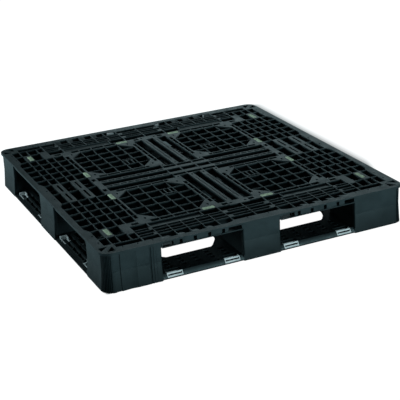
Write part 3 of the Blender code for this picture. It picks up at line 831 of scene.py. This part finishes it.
def build_insert(node, material):
    """Frame of two legs and a back bar, with two bars across the sloping outer face at the ends.

    It is shaped with x along the edge towards the nearer column and y outwards, then turned.
    """
    low, high = node_box(node)
    centre = (low + high) / 2
    size = high - low
    base, top = low.z, high.z
    over = 1.0                     # how far the cutting outlines run past the frame
    foot = 4.0                     # height of the low stretches
    along_x = size.x > size.y
    length, depth = max(size.x, size.y) / 2, min(size.x, size.y) / 2
    place, gap = (centre.x, COLUMN_X) if along_x else (centre.y, COLUMN_Y)
    side = math.copysign(1.0, centre.y if along_x else centre.x)
    outwards = abs(place) > (gap[1][1] + gap[2][0]) / 2
    toward = math.copysign(1.0, place) * (1.0 if outwards else -1.0)

    if along_x:
        slope = (LOWER_TOP - RAMP_FOOT) / RAMP_DEPTH

        def face(_, y):
            return min(top, base + slope * (depth - y))

        leg, back_bar = 2.6, 3.5
        bars, gap_start, gap_end = depth - 10.4, depth - 7.8, depth - 3.1
        shapes = [("frame", box_outline(-length, length, -depth, depth)),
                  ("hollow", box_outline(leg - length, length - leg, back_bar - depth, bars)),
                  ("upper_bar", box_outline(leg - length, length - leg, bars, gap_start)),
                  ("gap", box_outline(leg - length, length - leg, gap_start, gap_end)),
                  ("sloped", box_outline(-length - over, length + over, depth - 9.1, depth + over)),
                  ("low", box_outline(-length - over, length - leg, -depth - over, bars)),
                  ("low", box_outline(length - leg, length + over, -depth - over, 12.0 - depth))]
    else:
        face = top
        leg, back_bar, outer_bar = 4.0, 4.0, 3.5
        shapes = [("frame", box_outline(-length, length, -depth, depth)),
                  ("hollow", box_outline(leg - length, length - leg, back_bar - depth, depth - outer_bar)),
                  ("low", box_outline(-length - over, length - 24.0, -depth - over, back_bar - depth)),
                  ("low", box_outline(-length - over, leg - length, 9.0 - depth, depth + over)),
                  ("low", box_outline(leg - length, length - leg, depth - outer_bar, depth + over))]

    def rule(tags):
        if "frame" not in tags or "hollow" in tags or "gap" in tags:
            return []
        if "upper_bar" in tags:
            return [(top - 5.0, face)]
        if "low" in tags:
            return [(base, base + foot)]
        return [(base, face if "sloped" in tags else top)]

    mesh = moulding_mesh(shapes, rule, absolute=False)
    soften(mesh, 0.35)
    # Mirroring is needed where the turn alone would put the near leg at the far end
    if along_x:
        turn, along = (0.0, 1.0) if side > 0 else (math.pi, -1.0)
    else:
        turn, along = (-math.pi / 2, -1.0) if side > 0 else (math.pi / 2, 1.0)
    mesh.transform(Matrix.Diagonal((toward * along, 1.0, 1.0, 1.0)))
    mesh.transform(Matrix.Rotation(turn, 4, "Z"))
    mesh.transform(Matrix.Translation((centre.x * MM, centre.y * MM, 0.0)))
    bmesh.ops.recalc_face_normals(mesh, faces=mesh.faces)
    make_piece(node, mesh, material)


# Materials

def new_material(name):
    material = bpy.data.materials.new(name)
    material.use_nodes = True
    tree = material.node_tree
    return material, tree, tree.nodes["Principled BSDF"]


def axes_of(tree):
    """Position across, along and above the floor, in metres; every object stands at the origin."""
    coordinates = tree.nodes.new("ShaderNodeTexCoord")
    place = tree.nodes.new("ShaderNodeSeparateXYZ")
    tree.links.new(coordinates.outputs["Object"], place.inputs["Vector"])
    return place.outputs["X"], place.outputs["Y"], place.outputs["Z"]


def noise(tree, scale, detail=3.0, roughness=0.5):
    coordinates = tree.nodes.new("ShaderNodeTexCoord")
    texture = tree.nodes.new("ShaderNodeTexNoise")
    texture.inputs["Scale"].default_value = scale
    texture.inputs["Detail"].default_value = detail
    texture.inputs["Roughness"].default_value = roughness
    tree.links.new(coordinates.outputs["Object"], texture.inputs["Vector"])
    return texture.outputs["Fac"]


def ramp(tree, source, stops):
    """Colour ramp from two or more (position, colour) stops."""
    node = tree.nodes.new("ShaderNodeValToRGB")
    elements = node.color_ramp.elements
    while len(elements) < len(stops):
        elements.new(0.5)
    for element, (position, colour) in zip(elements, stops):
        element.position = position
        element.color = (*colour, 1.0)
    tree.links.new(source, node.inputs["Fac"])
    return node.outputs["Color"]


def grey(value):
    return (value, value, value)


def bump(tree, shader, source, distance, strength):
    node = tree.nodes.new("ShaderNodeBump")
    node.inputs["Distance"].default_value = distance
    node.inputs["Strength"].default_value = strength
    tree.links.new(source, node.inputs["Height"])
    tree.links.new(node.outputs["Normal"], shader.inputs["Normal"])


def math_node(tree, operation, first, second):
    node = tree.nodes.new("ShaderNodeMath")
    node.operation = operation
    for socket, value in zip(node.inputs, (first, second)):
        if isinstance(value, float):
            socket.default_value = value
        else:
            tree.links.new(value, socket)
    return node.outputs["Value"]


def fade(tree, source, start, end):
    """Goes smoothly from 0 at start to 1 at end, which may be the lower of the two."""
    node = tree.nodes.new("ShaderNodeMapRange")
    node.interpolation_type = "SMOOTHSTEP"
    node.inputs["From Min"].default_value = start
    node.inputs["From Max"].default_value = end
    tree.links.new(source, node.inputs["Value"])
    return node.outputs["Result"]


def moulded_black():
    """Black polypropylene with a faint blue cast, a fine grain and scuffed patches.

    Painted shade makes it darker low down, below the weld, and in the grid's cells and the inside of the
    pallet, and weakens its reflections there too.
    """
    material, tree, shader = new_material("black_polypropylene")
    scuffs = noise(tree, 9.0, detail=6.0, roughness=0.65)
    colour = ramp(tree, scuffs, ((0.35, (0.010, 0.016, 0.018)), (0.7, (0.020, 0.031, 0.035))))
    across, along, height = axes_of(tree)
    lowest = 0.5                   # share of the tone left at the floor
    # Painted shade: the tone falls off with height, darker towards the floor
    rise = math_node(tree, "MULTIPLY", fade(tree, height, -0.02, 0.12), 1.0 - lowest)
    painted_shade = math_node(tree, "ADD", rise, lowest)
    # Painted shade below the weld, where the lower half's leaning faces catch more light
    painted_weld_shade = math_node(tree, "MULTIPLY", fade(tree, height, WELD_TOP * MM, WELD_LOW * MM), 0.16)
    painted_shade = math_node(tree, "MULTIPLY", painted_shade, math_node(tree, "SUBTRACT", 1.0, painted_weld_shade))
    # Painted shade in the grid's cells and inside the pallet: below the deck's top, above the lower deck
    # and inside the outer faces, the tone drops by up to 0.6
    inside = math_node(tree, "MULTIPLY", fade(tree, height, 0.133, 0.126), fade(tree, height, 0.03, 0.08))
    for position in (across, along):
        distance = math_node(tree, "ABSOLUTE", position, 0.0)
        inside = math_node(tree, "MULTIPLY", inside, fade(tree, distance, 0.536, 0.530))
    inside = math_node(tree, "SUBTRACT", 1.0, math_node(tree, "MULTIPLY", inside, 0.6))
    painted_shade = math_node(tree, "MULTIPLY", painted_shade, inside)
    shaded = tree.nodes.new("ShaderNodeVectorMath")
    shaded.operation = "SCALE"
    tree.links.new(colour, shaded.inputs["Vector"])
    tree.links.new(painted_shade, shaded.inputs["Scale"])
    tree.links.new(shaded.outputs["Vector"], shader.inputs["Base Color"])
    # The painted shade also weakens the reflections
    tree.links.new(math_node(tree, "MULTIPLY", painted_shade, 0.5), shader.inputs["Specular IOR Level"])
    polish = ramp(tree, noise(tree, 22.0, detail=5.0), ((0.3, grey(0.28)), (0.72, grey(0.42))))
    specks = noise(tree, 260.0, detail=4.0, roughness=0.7)
    speckle = ramp(tree, specks, ((0.35, grey(0.0)), (0.7, grey(0.16))))
    tree.links.new(math_node(tree, "ADD", polish, speckle), shader.inputs["Roughness"])
    shader.inputs["Specular Tint"].default_value = (0.72, 0.96, 1.0, 1.0)
    bump(tree, shader, noise(tree, 1400.0, detail=2.0), 0.0003, 0.35)
    return material


def grip_elastomer():
    """Matte pale yellow-green elastomer with darker rubbed spots."""
    material, tree, shader = new_material("grip_elastomer")
    colour = ramp(tree, noise(tree, 120.0, detail=5.0),
                  ((0.3, (0.35, 0.43, 0.30)), (0.52, (0.65, 0.77, 0.55)), (0.75, (0.80, 0.92, 0.76))))
    tree.links.new(colour, shader.inputs["Base Color"])
    wear = ramp(tree, noise(tree, 60.0), ((0.3, grey(0.5)), (0.7, grey(0.68))))
    tree.links.new(wear, shader.inputs["Roughness"])
    bump(tree, shader, noise(tree, 2200.0, detail=2.0), 0.0002, 0.4)
    return material


def insert_elastomer():
    """Pale blue-grey elastomer, smooth and slightly glossy, greyer where tyres rub it."""
    material, tree, shader = new_material("insert_elastomer")
    colour = ramp(tree, noise(tree, 45.0, detail=5.0),
                  ((0.3, (0.66, 0.73, 0.74)), (0.65, (0.90, 0.94, 0.95))))
    tree.links.new(colour, shader.inputs["Base Color"])
    gloss = ramp(tree, noise(tree, 80.0), ((0.3, grey(0.22)), (0.7, grey(0.36))))
    tree.links.new(gloss, shader.inputs["Roughness"])
    bump(tree, shader, noise(tree, 900.0, detail=2.0), 0.0002, 0.25)
    return material


# Studio

AMBIENT = 0.11                     # strength of the world's light on the object
BACKDROP = 1.4                     # strength of the world as the camera sees it
COOL_WHITE = (0.76, 0.96, 1.0)
SKY_WHITE = (0.72, 0.95, 1.0)
CAMERA_ANGLES = (24.838, 22.278, -2.554)          # degrees round, down and rolled
CAMERA_LENS = 99.08
CAMERA_PLACE = (-1.5357, -3.3986, 1.5306)


def area_light(name, place, size, power, colour):
    """Rectangular light that faces the middle of the pallet."""
    middle = Vector((0.0, 0.0, 0.1))
    data = bpy.data.lights.new(name, "AREA")
    data.shape = "RECTANGLE"
    data.size, data.size_y = size
    data.energy = power
    data.color = colour
    light = bpy.data.objects.new(name, data)
    bpy.context.scene.collection.objects.link(light)
    light.location = place
    light.rotation_euler = (middle - Vector(place)).to_track_quat("-Z", "Y").to_euler()


def build_floor():
    """Pale floor that glows white to the camera, but for a painted shadow behind and under the pallet,
    placed by position on the floor.
    """
    mesh = bmesh.new()
    bmesh.ops.create_grid(mesh, x_segments=8, y_segments=8, size=12.0)
    data = bpy.data.meshes.new("studio_floor")
    mesh.to_mesh(data)
    mesh.free()
    floor = bpy.data.objects.new("studio_floor", data)
    bpy.context.scene.collection.objects.link(floor)
    material, tree, shader = new_material("studio_floor")
    tone = ramp(tree, noise(tree, 3.0), ((0.3, (0.25, 0.30, 0.31)), (0.7, (0.28, 0.34, 0.35))))
    tree.links.new(tone, shader.inputs["Base Color"])
    shader.inputs["Roughness"].default_value = 0.9
    across, along, _ = axes_of(tree)
    slanted = math_node(tree, "SUBTRACT", across, math_node(tree, "MULTIPLY", along, 0.46))
    # Painted light: a strip under the pallet's front keeps its white glow though the pallet shades it,
    # where the lower deck's large openings show it
    strip = fade(tree, along, -0.306, -0.320)
    for start, end in ((-0.46, -0.42), (0.46, 0.42)):
        strip = math_node(tree, "MULTIPLY", strip, fade(tree, across, start, end))
    # Painted shadow: the glow is taken away under and behind the pallet, by position on the floor
    painted_shade = math_node(tree, "SUBTRACT", 1.0, strip)
    limits = ((across, -0.55, -0.53), (across, 0.80, 0.72), (along, -0.55, -0.54),
              (along, 0.93, 0.88), (slanted, -0.80, -0.76), (slanted, 0.80, 0.76))
    for position, start, end in limits:
        painted_shade = math_node(tree, "MULTIPLY", painted_shade, fade(tree, position, start, end))
    lit = math_node(tree, "SUBTRACT", 1.0, painted_shade)
    path = tree.nodes.new("ShaderNodeLightPath")
    glow = math_node(tree, "MULTIPLY", lit, path.outputs["Is Camera Ray"])
    shader.inputs["Emission Color"].default_value = (1.0, 1.0, 1.0, 1.0)
    tree.links.new(glow, shader.inputs["Emission Strength"])
    data.materials.append(material)


def build_world():
    world = bpy.data.worlds.new("studio")
    world.use_nodes = True
    tree = world.node_tree
    background = tree.nodes["Background"]
    path = tree.nodes.new("ShaderNodeLightPath")
    mix = tree.nodes.new("ShaderNodeMapRange")
    mix.inputs["To Min"].default_value = AMBIENT
    mix.inputs["To Max"].default_value = BACKDROP
    tree.links.new(path.outputs["Is Camera Ray"], mix.inputs["Value"])
    tree.links.new(mix.outputs["Result"], background.inputs["Strength"])
    background.inputs["Color"].default_value = (0.75, 0.95, 1.0, 1.0)
    bpy.context.scene.world = world


def build_lights():
    area_light("left_softbox", (-3.4, 2.6, 0.65), (2.6, 0.8), 150.0, COOL_WHITE)
    area_light("front_softbox", (2.0, -5.5, 0.5), (2.6, 0.9), 165.0, COOL_WHITE)
    area_light("back_softbox", (1.7, 2.7, 1.15), (2.6, 1.2), 8.0, COOL_WHITE)
    area_light("top_softbox", (0.3, 0.2, 3.2), (2.6, 2.6), 4.0, SKY_WHITE)


def build_camera():
    azimuth, elevation, roll = (math.radians(angle) for angle in CAMERA_ANGLES)
    forward = Vector((math.sin(azimuth) * math.cos(elevation), math.cos(azimuth) * math.cos(elevation),
                      -math.sin(elevation)))
    level_right = forward.cross(Vector((0.0, 0.0, 1.0))).normalized()
    level_up = level_right.cross(forward)
    right = math.cos(roll) * level_right + math.sin(roll) * level_up
    up = -math.sin(roll) * level_right + math.cos(roll) * level_up
    data = bpy.data.cameras.new("camera")
    data.lens = CAMERA_LENS
    camera = bpy.data.objects.new("camera", data)
    bpy.context.scene.collection.objects.link(camera)
    camera.matrix_world = Matrix((right, up, -forward)).transposed().to_4x4()
    camera.location = CAMERA_PLACE
    bpy.context.scene.camera = camera


def main():
    build_camera()
    build_world()
    build_floor()
    build_lights()
    bpy.context.scene.view_settings.view_transform = "Standard"

    black = moulded_black()
    build_upper_deck(black)
    build_lower_deck(black)
    pad_material = grip_elastomer()
    insert_material = insert_elastomer()
    for node in sorted(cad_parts):
        if node.startswith("grip_pad"):
            build_pad(node, pad_material)
        elif node.startswith("edge_insert"):
            build_insert(node, insert_material)


main()
